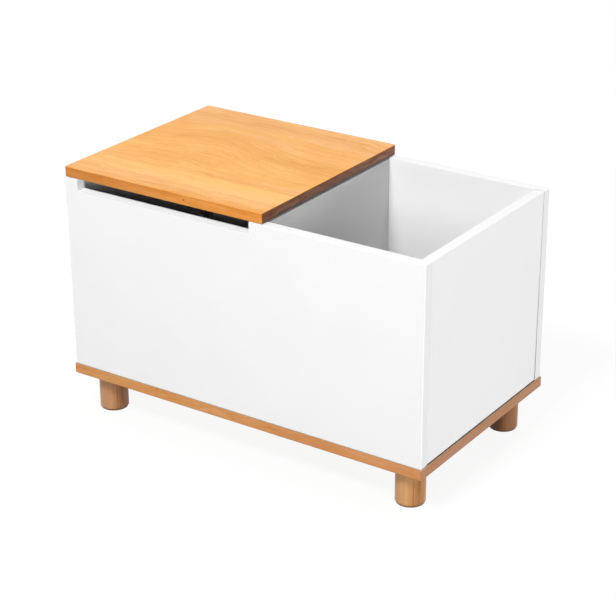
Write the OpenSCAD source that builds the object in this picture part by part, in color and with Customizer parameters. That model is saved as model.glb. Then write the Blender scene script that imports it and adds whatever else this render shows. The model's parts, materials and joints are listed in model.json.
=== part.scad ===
// Toy box on four turned legs. A hinged lid closes the left compartment, and the right one is open.
// X runs along the box, Y from front to back and Z up. The origin is on the floor, under its middle.

/* [Base board] */
// Width of the base board
base_w = 700; // [560:5:900]
// Depth of the base board
base_d = 400; // [320:5:500]
// Thickness of the base board
base_t = 18; // [16:0.5:25]
// How far the base board stands out past the walls
base_reveal = 2; // [0:0.5:8]

/* [Walls] */
// Height of the front and back walls
wall_h = 343; // [280:1:450]
// Thickness of the wall boards
wall_t = 18; // [16:0.5:22]
// Gap between the base board and the side and divider boards
shadow_gap = 2; // [0:0.5:4]
// Bevel on the edges of every board
edge_bevel = 0.8; // [0.3:0.1:1.5]

/* [Lid] */
// Width of the lid, to the right face of the divider
lid_w = 400; // [330:5:480]
// Thickness of the lid
lid_t = 18; // [15:0.5:25]
// Gap between the lid and the walls, which is the height of its bumpers
lid_gap = 1; // [0.8:0.1:3]
// Angle at which the stay stops the lid
lid_open = 90; // [70:1:95]
// Diameter of the bumpers
bumper_d = 8; // [6:0.5:12]

/* [Finger slot] */
// Distance from each end of the lid to the slot
slot_margin = 25; // [20:1:60]
// Depth of the slot below the top of the front wall
slot_h = 20; // [15:1:40]

/* [Legs] */
// Height of the base board above the floor
leg_h = 70; // [55:1:150]
// Diameter of the legs
leg_d = 50; // [38:1:60]
// Distance from the edges of the base board to the middle of a leg
leg_inset = 46; // [35:1:90]
// Radius round the foot of a leg
leg_foot_r = 1.5; // [1:0.5:5]
// Distance of the felt pads' rims inside the sides of the legs
pad_inset = 1.5; // [1:0.5:8]
// Thickness of the felt pads
pad_t = 2; // [1:0.5:5]
// Diameter of the leg bolts
leg_bolt_d = 8; // [6:1:10]
// Depth of the leg bolts in the legs
leg_bolt_l = 30; // [20:1:40]
// Diameter of the threaded inserts in the base board
insert_d = 12; // [11:0.5:16]
// Length of the threaded inserts
insert_l = 13; // [8:0.5:15]

/* [Hinges] */
// Length of a hinge
hinge_len = 50; // [40:1:80]
// Width of a hinge leaf from the pin's axis to its free edge
hinge_leaf_w = 16; // [14:0.5:17.5]
// Thickness of a hinge leaf
hinge_leaf_t = 1.2; // [1:0.1:1.5]
// Diameter of the hinge pins
hinge_pin_d = 3; // [2.5:0.1:4]
// Distance from each end of the lid to its hinge
hinge_inset = 60; // [30:1:90]
// Diameter of the hinge screws
hinge_screw_d = 3; // [2.5:0.1:3.5]
// Length of the hinge screws
hinge_screw_l = 15; // [10:1:16]

/* [Lid stay] */
// Distance from the hinge axis to both pivots of the stay
stay_reach = 110; // [90:1:130]
// Angle between the two pivots at the hinge axis, with the lid shut
stay_angle = 25; // [20:1:32]
// Depth of the lid's pivot below the lid
stay_drop = 14; // [12:0.5:18]
// Width of the arm
arm_w = 16; // [14:0.5:20]
// Thickness of the arm
arm_t = 2; // [1.5:0.1:3]
// Diameter of the stud that runs in the arm's slot
stud_d = 6; // [5:0.5:7]
// Diameter of the rivet that the arm turns on
rivet_d = 5; // [4:0.5:6]
// Thickness of the wall plate and the lid bracket
bracket_t = 2; // [1.5:0.1:2.5]
// Width of the bracket's foot under the lid
bracket_w = 24; // [20:1:35]
// Length of the wall plate and of the bracket's foot
bracket_l = 46; // [42:1:60]
// Diameter of the stay's screws
stay_screw_d = 3.5; // [3:0.1:4]
// Length of the stay's screws
stay_screw_l = 14; // [10:1:15]

/* [Board fixings] */
// Diameter of the cam discs
cam_d = 15; // [13:0.5:18]
// Distance from the end of a board to the middle of its cam discs
cam_setback = 24; // [22:1:34]
// Diameter of the cam bolts
cam_bolt_d = 6; // [5:0.5:7]
// Depth of the cam bolts in the front and back walls
cam_bolt_l = 11; // [8:0.5:13]
// Diameter of the dowels
dowel_d = 8; // [6:1:8]
// Length of the dowels
dowel_l = 30; // [25:1:40]
// Depth of the dowels in the front and back walls
dowel_seat = 10; // [8:0.5:13]
// Distance from the top and bottom of a board to its nearest cam discs
fixing_edge = 48; // [40:1:70]
// Distance between a cam disc and its dowel
fixing_pitch = 32; // [24:1:48]
// Diameter of the screws that hold the base board
base_screw_d = 7; // [5:0.5:8]
// Length of the screws that hold the base board
base_screw_l = 50; // [40:1:60]
// Distance from the ends of the front and back walls to the outer base screws
base_screw_inset = 60; // [45:1:100]
// Number of base screws in each wall
base_screw_count = 4; // [2:1:6]

/* [Hidden] */
$fn = 48;

WHITE = [0.95, 0.95, 0.96];
OAK = [0.93, 0.68, 0.40];
TURNED = [0.76, 0.56, 0.36];
BEECH = [0.85, 0.72, 0.52];
FELT = [0.38, 0.33, 0.28];
ZINC = [0.72, 0.73, 0.75];
STEEL = [0.80, 0.81, 0.83];
SILICONE = [0.88, 0.90, 0.92];
NYLON = [0.93, 0.92, 0.88];

// Clearance between fixed pieces, such as a screw and its hole
snug = 0.05;
// Clearance between a pin and what turns on it
running = 0.08;
// Clearance between moving pieces that pass each other
free_gap = 0.3;
// Overshoot of a cut past the face that it opens
cut = 1;

// The carcass
body_w = base_w - 2 * base_reveal;
body_d = base_d - 2 * base_reveal;
inner_d = body_d - 2 * wall_t;
left_x = -body_w / 2;
front_y = -body_d / 2;
wall_z = leg_h + base_t;
top_z = wall_z + wall_h;
side_z = wall_z + shadow_gap;
side_h = wall_h - shadow_gap;
divider_x = left_x + lid_w - wall_t;
lid_z = top_z + lid_gap;

// Side and divider boards: the middle of each one's thickness, and the side that its cams open to
LEFT = [left_x + wall_t / 2, 1];
DIVIDER = [divider_x + wall_t / 2, -1];
RIGHT = [-left_x - wall_t / 2, -1];
cam_heights = [side_z + fixing_edge, top_z - fixing_edge];
dowel_heights = [cam_heights[0] + fixing_pitch, cam_heights[1] - fixing_pitch];

// Cam fittings: the bolt's round head sits in the disc's hollow, against the edges of the slot for its neck
cam_sink = 0.2;
cam_head_d = cam_bolt_d + 1;
cam_neck_d = cam_bolt_d - 2;
cam_reach = wall_t / 2 + cam_head_d / 2 + 2 * snug;
cam_rim = 2.3;
cam_throw = 0.8;
cam_hollow_d = cam_d - 2 * cam_rim;
cam_slot_w = cam_neck_d + 2 * free_gap;
cam_head_y = cam_setback + cam_throw - half_chord(cam_hollow_d, cam_slot_w)
    + half_chord(cam_head_d, cam_slot_w) + snug;
cam_collar_l = cam_setback - cam_d / 2 - 2 * free_gap;
cam_driver_w = 6;
cam_driver_t = 1.4;
cam_driver_l = 2;
cap_d = cam_d + 2.5;
cap_t = 0.8;

// Base screws
base_screw_head_d = base_screw_d + 3;
base_screw_head_h = (base_screw_head_d - base_screw_d) / 2;
base_screw_core_d = base_screw_d - 2;
base_screw_point_l = base_screw_core_d / 2;
base_screw_hex = base_screw_core_d - 1;
base_screw_hex_l = 2.5;
base_screw_span = body_w - 2 * base_screw_inset;
wall_mid_y = body_d / 2 - wall_t / 2;

// Legs
leg_top_bevel = 0.6;
pad_d = leg_d - 2 * pad_inset;
leg_x = base_w / 2 - leg_inset;
leg_y = base_d / 2 - leg_inset;

// Lid bumpers stand on the front and back walls, beside the ends of the lid
bumper_inset = slot_margin / 2;

// Hinges: the pin's axis lies behind the walls, level with the middle of the lid's gap
barrel_r = hinge_pin_d / 2 + hinge_leaf_t;
hinge_y = body_d / 2 + barrel_r + free_gap;
hinge_z = top_z + lid_gap / 2;
hinge_left_x = left_x + hinge_inset + hinge_len / 2;
hinge_right_x = left_x + lid_w - hinge_inset - hinge_len / 2;
knuckles = 5;
knuckle_l = hinge_len / knuckles;
leaf_y = body_d / 2 - hinge_y;
leaf_notch = barrel_r + free_gap;
leaf_corner_r = 2;
leaf_screw_edge = 8;
leaf_screws = [-1, 0, 1] * (hinge_len / 2 - leaf_screw_edge);
leaf_screw_z = (leaf_notch + hinge_leaf_w) / 2;
pin_head_d = hinge_pin_d + 1.6;
pin_head_t = 0.8;

// Stay: both pivots lie at stay_reach from the hinge axis, so the arm turns through half the lid's angle
pivot_tilt = asin((hinge_z - lid_z + stay_drop) / stay_reach);
arm_tilt = pivot_tilt + stay_angle / 2;
lid_pivot = stay_pivot(pivot_tilt);
wall_pivot = stay_pivot(pivot_tilt + stay_angle);
slot_w = stud_d + 2 * free_gap;
slot_near = stay_chord(stay_angle) - slot_w / 2;
slot_far = stay_chord(stay_angle + lid_open) + free_gap;
arm_end = slot_far + arm_w / 2;
shoulder_d = stud_d + 4;
shoulder_l = 2.5;
washer_d = stud_d + 8;
washer_t = 0.6;
washer_gap = 0.2;
nut_w = stud_d + 4;
nut_h = stud_d * 0.8;
stud_tip = 1;
plate_w = 20;
plate_corner_r = 5;
stay_screw_edge = 7;
stay_screw_span = bracket_l - 2 * stay_screw_edge;
plate_x = left_x + wall_t;
shoulder_x = plate_x + bracket_t;
washer_x = shoulder_x + shoulder_l;
arm_x = washer_x + washer_t + washer_gap;
nut_washer_x = arm_x + arm_t + washer_gap;
nut_x = nut_washer_x + washer_t;
ear_x = arm_x + arm_t + free_gap;
ear_w = 20;
bend_r = 1.5;
foot_x = ear_x + bracket_t + bend_r;
foot_mid_x = (foot_x + ear_x + bracket_w) / 2;
rivet_head_d = rivet_d + 4;
rivet_head_t = 1.6;

// Point at an angle below the horizontal through the hinge axis, as [y, z]
function stay_pivot(tilt) = [hinge_y - stay_reach * cos(tilt), hinge_z - stay_reach * sin(tilt)];
// Distance between the two pivots when they lie this angle apart
function stay_chord(angle) = 2 * stay_reach * sin(angle / 2);
// Distance from a circle's middle to a chord of this width
function half_chord(d, width) = sqrt(d * d - width * width) / 2;

// ---- Shared shapes ----

// Rectangle from the origin with its corners cut at 45 degrees
module bevelled_rect(w, h, bevel) {
    polygon([
        [bevel, 0], [w - bevel, 0], [w, bevel], [w, h - bevel],
        [w - bevel, h], [bevel, h], [0, h - bevel], [0, bevel]
    ]);
}

// Stands a flat shape up: its X runs along Y, its Y up, and its thickness along X
module upright(thickness) {
    rotate([90, 0, 90]) linear_extrude(thickness) children();
}

// Board from the origin with all its edges bevelled
module board(size) {
    intersection() {
        linear_extrude(size.z) bevelled_rect(size.x, size.y, edge_bevel);
        upright(size.x) bevelled_rect(size.y, size.z, edge_bevel);
        translate([0, size.y, 0]) rotate([90, 0, 0])
            linear_extrude(size.y) bevelled_rect(size.x, size.z, edge_bevel);
    }
}

// Flat bar with round ends, from y = low to y = high
module round_bar(low, high, width) {
    translate([-width / 2, low]) square([width, high - low]);
    for (y = [low, high]) translate([0, y]) circle(d = width);
}

// Rectangle with round corners, centred on the origin
module round_rect(w, h, r) {
    square([w, h - 2 * r], center = true);
    square([w - 2 * r, h], center = true);
    for (x = [-1, 1], y = [-1, 1]) translate([x * (w / 2 - r), y * (h / 2 - r)]) circle(r);
}

// Cross-shaped pit for a screwdriver, down from z = 0
module cross_pit(w, t, depth) {
    for (turn = [0, 90]) rotate([0, 0, turn])
        translate([-w / 2, -t / 2, -depth]) cube([w, t, depth + cut]);
}

// Countersunk screw, down from z = 0, with a 90 degree head as tall as the plate it holds
module screw(d, length, plate_t) {
    head_d = d + 2 * plate_t;
    point_l = d;
    tip_d = d / 5;
    pit_w = head_d / 2;
    pit_l = plate_t * 0.8;
    difference() {
        union() {
            translate([0, 0, -plate_t]) cylinder(d1 = d, d2 = head_d, h = plate_t);
            translate([0, 0, point_l - length]) cylinder(d = d, h = length - point_l);
            translate([0, 0, -length]) cylinder(d1 = tip_d, d2 = d, h = point_l);
        }
        cross_pit(pit_w, tip_d, pit_l);
    }
}

// Hole for that screw, with room round it
module screw_hole(d, length, plate_t) {
    head_d = d + 2 * plate_t;
    translate([0, 0, -plate_t]) cylinder(d1 = d + 2 * snug, d2 = head_d + 2 * snug, h = plate_t);
    translate([0, 0, -length - snug]) cylinder(d = d + 2 * snug, h = length);
    cylinder(d = head_d + 2 * snug, h = cut);
}

// ---- Places ----

// At the joints of a side or divider board with one end wall (end is -1 in front, 1 behind).
// The child's Y runs into the board from the wall's inner face, and its X towards the cams' side.
module at_joint(side, end, heights) {
    for (z = heights) translate([side[0], end * inner_d / 2, z])
        mirror([side[1] < 0 ? 1 : 0, 0, 0]) mirror([0, end > 0 ? 1 : 0, 0]) children();
}

module at_all_joints(heights) {
    for (side = [LEFT, DIVIDER, RIGHT], end = [-1, 1]) at_joint(side, end, heights) children();
}

module at_legs() {
    for (x = [-1, 1], y = [-1, 1]) translate([x * leg_x, y * leg_y, 0]) children();
}

// At the base screws of one end wall, on the underside of the base board
module at_base_screws(end) {
    for (i = [0 : base_screw_count - 1])
        translate([base_screw_span * (i / (base_screw_count - 1) - 0.5), end * wall_mid_y, leg_h])
            children();
}

module at_hinge(x) {
    translate([x, hinge_y, hinge_z]) children();
}

// At the screws of one leaf (side is 1 on the lid, -1 on the wall), with Z out of the leaf
module at_leaf_screws(side) {
    for (x = leaf_screws)
        translate([x, leaf_y + hinge_leaf_t, side * leaf_screw_z]) rotate([-90, 0, 0]) children();
}

// At the screws of the wall plate, with Z out of the plate
module at_plate_screws() {
    for (end = [-1, 1])
        translate([plate_x + bracket_t, wall_pivot.x, wall_pivot.y + end * stay_screw_span / 2])
            rotate([0, 90, 0]) children();
}

// At the screws of the lid bracket, with Z down out of its foot
module at_foot_screws() {
    for (end = [-1, 1])
        translate([foot_mid_x, lid_pivot.x + end * stay_screw_span / 2, lid_z - bracket_t])
            rotate([180, 0, 0]) children();
}

// On the axis of the wall pivot, with Z to the right
module at_wall_pivot(x) {
    translate([x, wall_pivot.x, wall_pivot.y]) rotate([0, 90, 0]) children();
}

// On the axis of the lid pivot, with Z to the right
module at_lid_pivot(x) {
    translate([x, lid_pivot.x, lid_pivot.y]) rotate([0, 90, 0]) children();
}

// ---- Walls and base ----

// Front or back wall, drilled for the fixings of the three boards between them
module end_wall(end) {
    difference() {
        translate([left_x, end > 0 ? body_d / 2 - wall_t : front_y, wall_z])
            board([body_w, wall_t, wall_h]);
        for (side = [LEFT, DIVIDER, RIGHT]) {
            at_joint(side, end, cam_heights) cam_bolt_seat();
            at_joint(side, end, dowel_heights) dowel_hole();
        }
        at_base_screws(end) base_screw_hole();
    }
}

module front_panel() {
    color(WHITE) difference() {
        end_wall(-1);
        translate([left_x + slot_margin, front_y - cut, top_z - slot_h])
            cube([lid_w - 2 * slot_margin, wall_t + 2 * cut, slot_h + cut]);
    }
}

module back_panel() {
    color(WHITE) difference() {
        end_wall(1);
        for (x = [hinge_left_x, hinge_right_x]) at_hinge(x)
            at_leaf_screws(-1) screw_hole(hinge_screw_d, hinge_screw_l, hinge_leaf_t);
    }
}

// Board between the front and back walls
module cross_board(side) {
    difference() {
        translate([side[0] - wall_t / 2, -inner_d / 2, side_z]) board([wall_t, inner_d, side_h]);
        for (end = [-1, 1]) {
            at_joint(side, end, cam_heights) cam_bores();
            at_joint(side, end, dowel_heights) dowel_hole();
        }
    }
}

module left_panel() {
    color(WHITE) difference() {
        cross_board(LEFT);
        at_plate_screws() screw_hole(stay_screw_d, stay_screw_l, bracket_t);
    }
}

module right_panel() {
    color(WHITE) cross_board(RIGHT);
}

module divider_panel() {
    color(WHITE) cross_board(DIVIDER);
}

module base_panel() {
    color(OAK) difference() {
        translate([-base_w / 2, -base_d / 2, leg_h]) board([base_w, base_d, base_t]);
        for (end = [-1, 1]) at_base_screws(end) base_screw_hole();
        at_legs() translate([0, 0, leg_h - cut])
            cylinder(d = insert_d + 2 * snug, h = insert_l + 2 * cut);
    }
}

// ---- Legs ----

// Turned leg, with a rounded foot and a hole for its bolt
module leg(x, y) {
    r = leg_d / 2;
    color(TURNED) translate([x * leg_x, y * leg_y, pad_t]) difference() {
        rotate_extrude() difference() {
            square([r, leg_h - pad_t]);
            translate([r - leg_foot_r, 0]) difference() {
                translate([0, -cut]) square([leg_foot_r + cut, leg_foot_r + cut]);
                translate([0, leg_foot_r]) circle(leg_foot_r);
            }
            translate([r, leg_h - pad_t]) rotate([0, 0, 45])
                square(leg_top_bevel * sqrt(2), center = true);
        }
        translate([0, 0, leg_h - pad_t - leg_bolt_l - cut])
            cylinder(d = leg_bolt_d + 2 * snug, h = leg_bolt_l + 2 * cut);
    }
}

// Bolt with one end in the leg and the other in the base board's insert
module leg_bolts() {
    tip = leg_bolt_d / 5;
    color(ZINC) at_legs() translate([0, 0, leg_h - leg_bolt_l]) {
        cylinder(d1 = leg_bolt_d / 2, d2 = leg_bolt_d, h = leg_bolt_d / 2);
        translate([0, 0, leg_bolt_d / 2])
            cylinder(d = leg_bolt_d, h = leg_bolt_l + insert_l - leg_bolt_d / 2 - tip);
        translate([0, 0, leg_bolt_l + insert_l - tip])
            cylinder(d1 = leg_bolt_d, d2 = leg_bolt_d - 2 * tip, h = tip);
    }
}

module leg_inserts() {
    color(ZINC) at_legs() translate([0, 0, leg_h]) difference() {
        cylinder(d = insert_d, h = insert_l);
        translate([0, 0, -cut]) cylinder(d = leg_bolt_d + 2 * snug, h = insert_l + 2 * cut);
    }
}

module foot_pads() {
    color(FELT) at_legs() cylinder(d = pad_d, h = pad_t);
}

// ---- Board fixings ----

// Bores in a side or divider board for one cam disc and its bolt
module cam_bores() {
    translate([wall_t / 2 - cam_reach, cam_setback, 0]) rotate([0, 90, 0])
        cylinder(d = cam_d + 2 * snug, h = cam_reach + cut);
    translate([0, -cut, 0]) rotate([-90, 0, 0])
        cylinder(d = cam_head_d + 2 * snug, h = cam_setback + cut);
}

// Disc with a hollow that grips the bolt's head off centre, a slot for its neck and a way in for its head
module cam_discs() {
    disc_l = cam_reach - cam_sink - snug;
    hollow_l = cam_reach - wall_t / 2 + cam_head_d / 2 + free_gap;
    color(ZINC) at_all_joints(cam_heights)
        translate([wall_t / 2 - cam_sink, cam_setback, 0]) rotate([0, -90, 0]) difference() {
            cylinder(d = cam_d, h = disc_l);
            translate([0, cam_throw, disc_l - hollow_l]) cylinder(d = cam_hollow_d, h = hollow_l + cut);
            translate([-cam_slot_w / 2, -cam_d, disc_l - hollow_l])
                cube([cam_slot_w, cam_d, hollow_l + cut]);
            translate([0, -cam_head_d / 2 - free_gap, disc_l - hollow_l])
                cube([cam_d, cam_head_d + 2 * free_gap, hollow_l + cut]);
            mirror([0, 0, 1]) cross_pit(cam_driver_w, cam_driver_t, cam_driver_l);
        }
}

// Bolt from the end wall, through the end of the board, with its round head in the cam disc
module cam_bolts() {
    color(ZINC) at_all_joints(cam_heights) rotate([-90, 0, 0]) {
        translate([0, 0, -cam_bolt_l]) cylinder(d = cam_neck_d, h = cam_bolt_l + cam_head_y);
        cylinder(d = cam_bolt_d, h = cam_collar_l);
        translate([0, 0, cam_head_y]) sphere(d = cam_head_d);
    }
}

// Hole in an end wall for a cam bolt
module cam_bolt_seat() {
    translate([0, cut, 0]) rotate([90, 0, 0])
        cylinder(d = cam_neck_d + 2 * snug, h = cam_bolt_l + 2 * cut);
}

// Plastic cap on a cam disc, with a cross on its back that plugs into the driver's slot
module cam_caps() {
    color(WHITE) at_all_joints(cam_heights)
        translate([wall_t / 2, cam_setback, 0]) rotate([0, 90, 0]) {
            cylinder(d = cap_d, h = cap_t);
            translate([0, 0, snug - cam_driver_l]) intersection() {
                cylinder(d = cam_driver_w - 2 * snug, h = cam_driver_l);
                translate([0, 0, cam_driver_l])
                    cross_pit(cam_driver_w, cam_driver_t - 2 * snug, cam_driver_l);
            }
        }
}

// Hole for a dowel, in the end wall and in the end of the board
module dowel_hole() {
    translate([0, dowel_l - dowel_seat + snug, 0]) rotate([90, 0, 0])
        cylinder(d = dowel_d + 2 * snug, h = dowel_l + 2 * snug);
}

module wooden_dowels() {
    tip = dowel_d / 8;
    color(BEECH) at_all_joints(dowel_heights) translate([0, -dowel_seat, 0]) rotate([-90, 0, 0]) {
        cylinder(d1 = dowel_d - 2 * tip, d2 = dowel_d, h = tip);
        translate([0, 0, tip]) cylinder(d = dowel_d, h = dowel_l - 2 * tip);
        translate([0, 0, dowel_l - tip]) cylinder(d1 = dowel_d, d2 = dowel_d - 2 * tip, h = tip);
    }
}

// Screw up through the base board into the bottom edge of an end wall
module base_screws() {
    shank_l = base_screw_l - base_screw_point_l;
    color(ZINC) for (end = [-1, 1]) at_base_screws(end) difference() {
        union() {
            cylinder(d1 = base_screw_head_d, d2 = base_screw_d, h = base_screw_head_h);
            cylinder(d = base_screw_d, h = base_t - snug);
            cylinder(d = base_screw_core_d, h = shank_l);
            translate([0, 0, shank_l])
                cylinder(d1 = base_screw_core_d, d2 = base_screw_core_d / 2, h = base_screw_point_l);
        }
        translate([0, 0, -cut])
            cylinder(d = base_screw_hex / cos(30), h = base_screw_hex_l + cut, $fn = 6);
    }
}

module base_screw_hole() {
    room = 2 * snug;
    translate([0, 0, -cut]) cylinder(d = base_screw_head_d + room, h = cut);
    cylinder(d1 = base_screw_head_d + room, d2 = base_screw_d + room, h = base_screw_head_h);
    cylinder(d = base_screw_d + room, h = base_t);
    cylinder(d = base_screw_core_d + room, h = base_screw_l + snug);
}

// ---- Lid ----

module lid_panel() {
    color(OAK) difference() {
        translate([left_x, front_y, lid_z]) board([lid_w, body_d, lid_t]);
        for (x = [hinge_left_x, hinge_right_x]) at_hinge(x)
            at_leaf_screws(1) screw_hole(hinge_screw_d, hinge_screw_l, hinge_leaf_t);
        at_foot_screws() screw_hole(stay_screw_d, stay_screw_l, bracket_t);
    }
}

// Stuck under the corners of the lid, over the front and back walls
module lid_bumpers() {
    color(SILICONE)
        for (x = [left_x + bumper_inset, left_x + lid_w - bumper_inset], y = [-1, 1])
            translate([x, y * wall_mid_y, top_z]) cylinder(d = bumper_d, h = lid_gap);
}

// ---- Hinges ----

// Leaf against the lid (side is 1) or the wall (side is -1), with the knuckles listed and their pin bore
module hinge_leaf(side, own, bore_d) {
    knuckle_w = knuckle_l - free_gap;
    plate_l = hinge_leaf_w - leaf_notch;
    color(STEEL) mirror([0, 0, side < 0 ? 1 : 0]) difference() {
        union() {
            translate([0, leaf_y + hinge_leaf_t, leaf_notch]) rotate([90, 0, 0])
                linear_extrude(hinge_leaf_t) intersection() {
                    translate([-hinge_len / 2, 0]) square([hinge_len, plate_l]);
                    round_rect(hinge_len, 2 * plate_l, leaf_corner_r);
                }
            for (i = own) translate([(i - knuckles / 2 + 0.5) * knuckle_l - knuckle_w / 2, 0, 0]) {
                rotate([0, 90, 0]) cylinder(r = barrel_r, h = knuckle_w);
                translate([0, leaf_y, 0]) cube([knuckle_w, hinge_leaf_t, leaf_notch]);
            }
        }
        translate([-hinge_len, 0, 0]) rotate([0, 90, 0]) cylinder(d = bore_d, h = 2 * hinge_len);
        at_leaf_screws(1) screw_hole(hinge_screw_d, hinge_screw_l, hinge_leaf_t);
    }
}

module hinge_base_leaf(x) {
    at_hinge(x) hinge_leaf(-1, [0, 2, 4], hinge_pin_d + 2 * snug);
}

module hinge_lid_leaf(x) {
    at_hinge(x) hinge_leaf(1, [1, 3], hinge_pin_d + 2 * running);
}

module hinge_pin(x) {
    pin_l = hinge_len - free_gap;
    color(STEEL) at_hinge(x) rotate([0, 90, 0]) {
        cylinder(d = hinge_pin_d, h = pin_l, center = true);
        for (end = [0, 1]) mirror([0, 0, end]) translate([0, 0, pin_l / 2])
            cylinder(d1 = pin_head_d, d2 = hinge_pin_d, h = pin_head_t);
    }
}

module hinge_screws(side) {
    color(STEEL) for (x = [hinge_left_x, hinge_right_x]) at_hinge(x)
        at_leaf_screws(side) screw(hinge_screw_d, hinge_screw_l, hinge_leaf_t);
}

// ---- Lid stay ----

// Plate on the left board that carries the stud
module stay_wall_plate() {
    color(STEEL) difference() {
        translate([plate_x, wall_pivot.x, wall_pivot.y])
            upright(bracket_t) round_rect(plate_w, bracket_l, plate_corner_r);
        at_wall_pivot(plate_x - cut) cylinder(d = stud_d + 2 * snug, h = bracket_t + 2 * cut);
        at_plate_screws() screw_hole(stay_screw_d, stay_screw_l, bracket_t);
    }
}

module stay_wall_screws() {
    color(STEEL) at_plate_screws() screw(stay_screw_d, stay_screw_l, bracket_t);
}

// Stud with a shoulder against the wall plate
module stay_stud() {
    stud_l = nut_x + nut_h + stud_tip - plate_x;
    color(ZINC) {
        at_wall_pivot(plate_x) cylinder(d = stud_d, h = stud_l - stud_tip);
        at_wall_pivot(plate_x + stud_l - stud_tip)
            cylinder(d1 = stud_d, d2 = stud_d - 2 * stud_tip, h = stud_tip);
        at_wall_pivot(shoulder_x) cylinder(d = shoulder_d, h = shoulder_l);
    }
}

// A washer on each side of the arm, pressed on it by the nut
module stay_washers() {
    color(NYLON) for (x = [washer_x, nut_washer_x]) at_wall_pivot(x) difference() {
        cylinder(d = washer_d, h = washer_t);
        translate([0, 0, -cut]) cylinder(d = stud_d + 2 * snug, h = washer_t + 2 * cut);
    }
}

// Hexagon nut with its corners turned off
module stay_nut() {
    corner = nut_w / cos(30);
    color(ZINC) at_wall_pivot(nut_x) difference() {
        intersection() {
            cylinder(d = corner, h = nut_h, $fn = 6);
            union() {
                cylinder(d = corner + cut, h = nut_h / 2);
                translate([0, 0, nut_h / 2])
                    cylinder(d1 = corner + nut_h, d2 = nut_w, h = nut_h / 2);
            }
        }
        translate([0, 0, -cut]) cylinder(d = stud_d + 2 * snug, h = nut_h + 2 * cut);
    }
}

// Bar that turns on the rivet, with a long slot for the stud
module stay_arm() {
    color(STEEL) translate([arm_x, lid_pivot.x, lid_pivot.y]) rotate([arm_tilt, 0, 0])
        upright(arm_t) difference() {
            round_bar(-arm_end + arm_w / 2, 0, arm_w);
            round_bar(-slot_far, -slot_near, slot_w);
            circle(d = rivet_d + 2 * running);
        }
}

// Rivet through the arm and the bracket's ear
module stay_rivet() {
    head_x = arm_x - washer_gap;
    far_x = ear_x + bracket_t;
    color(ZINC) {
        at_lid_pivot(head_x) cylinder(d = rivet_d, h = far_x - head_x);
        at_lid_pivot(head_x - rivet_head_t)
            cylinder(d1 = rivet_d, d2 = rivet_head_d, h = rivet_head_t);
        at_lid_pivot(far_x) cylinder(d1 = rivet_head_d, d2 = rivet_d, h = rivet_head_t);
    }
}

// Angle bracket, bent from plate: an ear for the rivet, and a foot under the lid
module stay_lid_bracket() {
    foot_l = ear_x + bracket_w - foot_x;
    color(STEEL) difference() {
        union() {
            intersection() {
                translate([ear_x, lid_pivot.x + ear_w / 2, lid_z]) rotate([90, 0, 0])
                    linear_extrude(ear_w) bent_strip(foot_x - ear_x + cut, stay_drop + ear_w / 2);
                translate([ear_x - cut, lid_pivot.x, 0]) upright(bracket_w)
                    round_bar(lid_pivot.y, lid_z, ear_w);
            }
            translate([foot_x, lid_pivot.x - bracket_l / 2, lid_z - bracket_t])
                linear_extrude(bracket_t) foot_outline(foot_l);
        }
        at_lid_pivot(ear_x - cut) cylinder(d = rivet_d + 2 * snug, h = bracket_t + 2 * cut);
        at_foot_screws() screw_hole(stay_screw_d, stay_screw_l, bracket_t);
    }
}

module stay_lid_screws() {
    color(STEEL) at_foot_screws() screw(stay_screw_d, stay_screw_l, bracket_t);
}

// Foot of the bracket, with its two free corners rounded
module foot_outline(length) {
    r = length / 4;
    square([length - r, bracket_l]);
    translate([0, r]) square([length, bracket_l - 2 * r]);
    for (y = [r, bracket_l - r]) translate([length - r, y]) circle(r);
}

// Section of a strip bent down at a right angle, with its outer corner at the origin
module bent_strip(across, down) {
    outer_r = bend_r + bracket_t;
    translate([outer_r, -bracket_t]) square([across - outer_r, bracket_t]);
    translate([0, -down]) square([bracket_t, down - outer_r]);
    intersection() {
        translate([outer_r, -outer_r]) difference() {
            circle(outer_r);
            circle(bend_r);
        }
        translate([0, -outer_r]) square(outer_r);
    }
}

// ---- The pieces ----

front_panel();
back_panel();
left_panel();
right_panel();
divider_panel();
base_panel();
leg(-1, -1);  // leg_front_left
leg(1, -1);  // leg_front_right
leg(-1, 1);  // leg_back_left
leg(1, 1);  // leg_back_right
leg_bolts();
leg_inserts();
foot_pads();
cam_discs();
cam_bolts();
cam_caps();
wooden_dowels();
base_screws();
lid_panel();
lid_bumpers();
hinge_base_leaf(hinge_left_x);  // hinge_left_base_leaf
hinge_lid_leaf(hinge_left_x);  // hinge_left_lid_leaf
hinge_pin(hinge_left_x);  // hinge_left_pin
hinge_base_leaf(hinge_right_x);  // hinge_right_base_leaf
hinge_lid_leaf(hinge_right_x);  // hinge_right_lid_leaf
hinge_pin(hinge_right_x);  // hinge_right_pin
hinge_screws(-1);  // hinge_base_screws
hinge_screws(1);  // hinge_lid_screws
stay_wall_plate();
stay_wall_screws();
stay_stud();
stay_washers();
stay_nut();
stay_arm();
stay_rivet();
stay_lid_bracket();
stay_lid_screws();
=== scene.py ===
import json
import math

import bpy
from mathutils import Matrix, Vector

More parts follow.
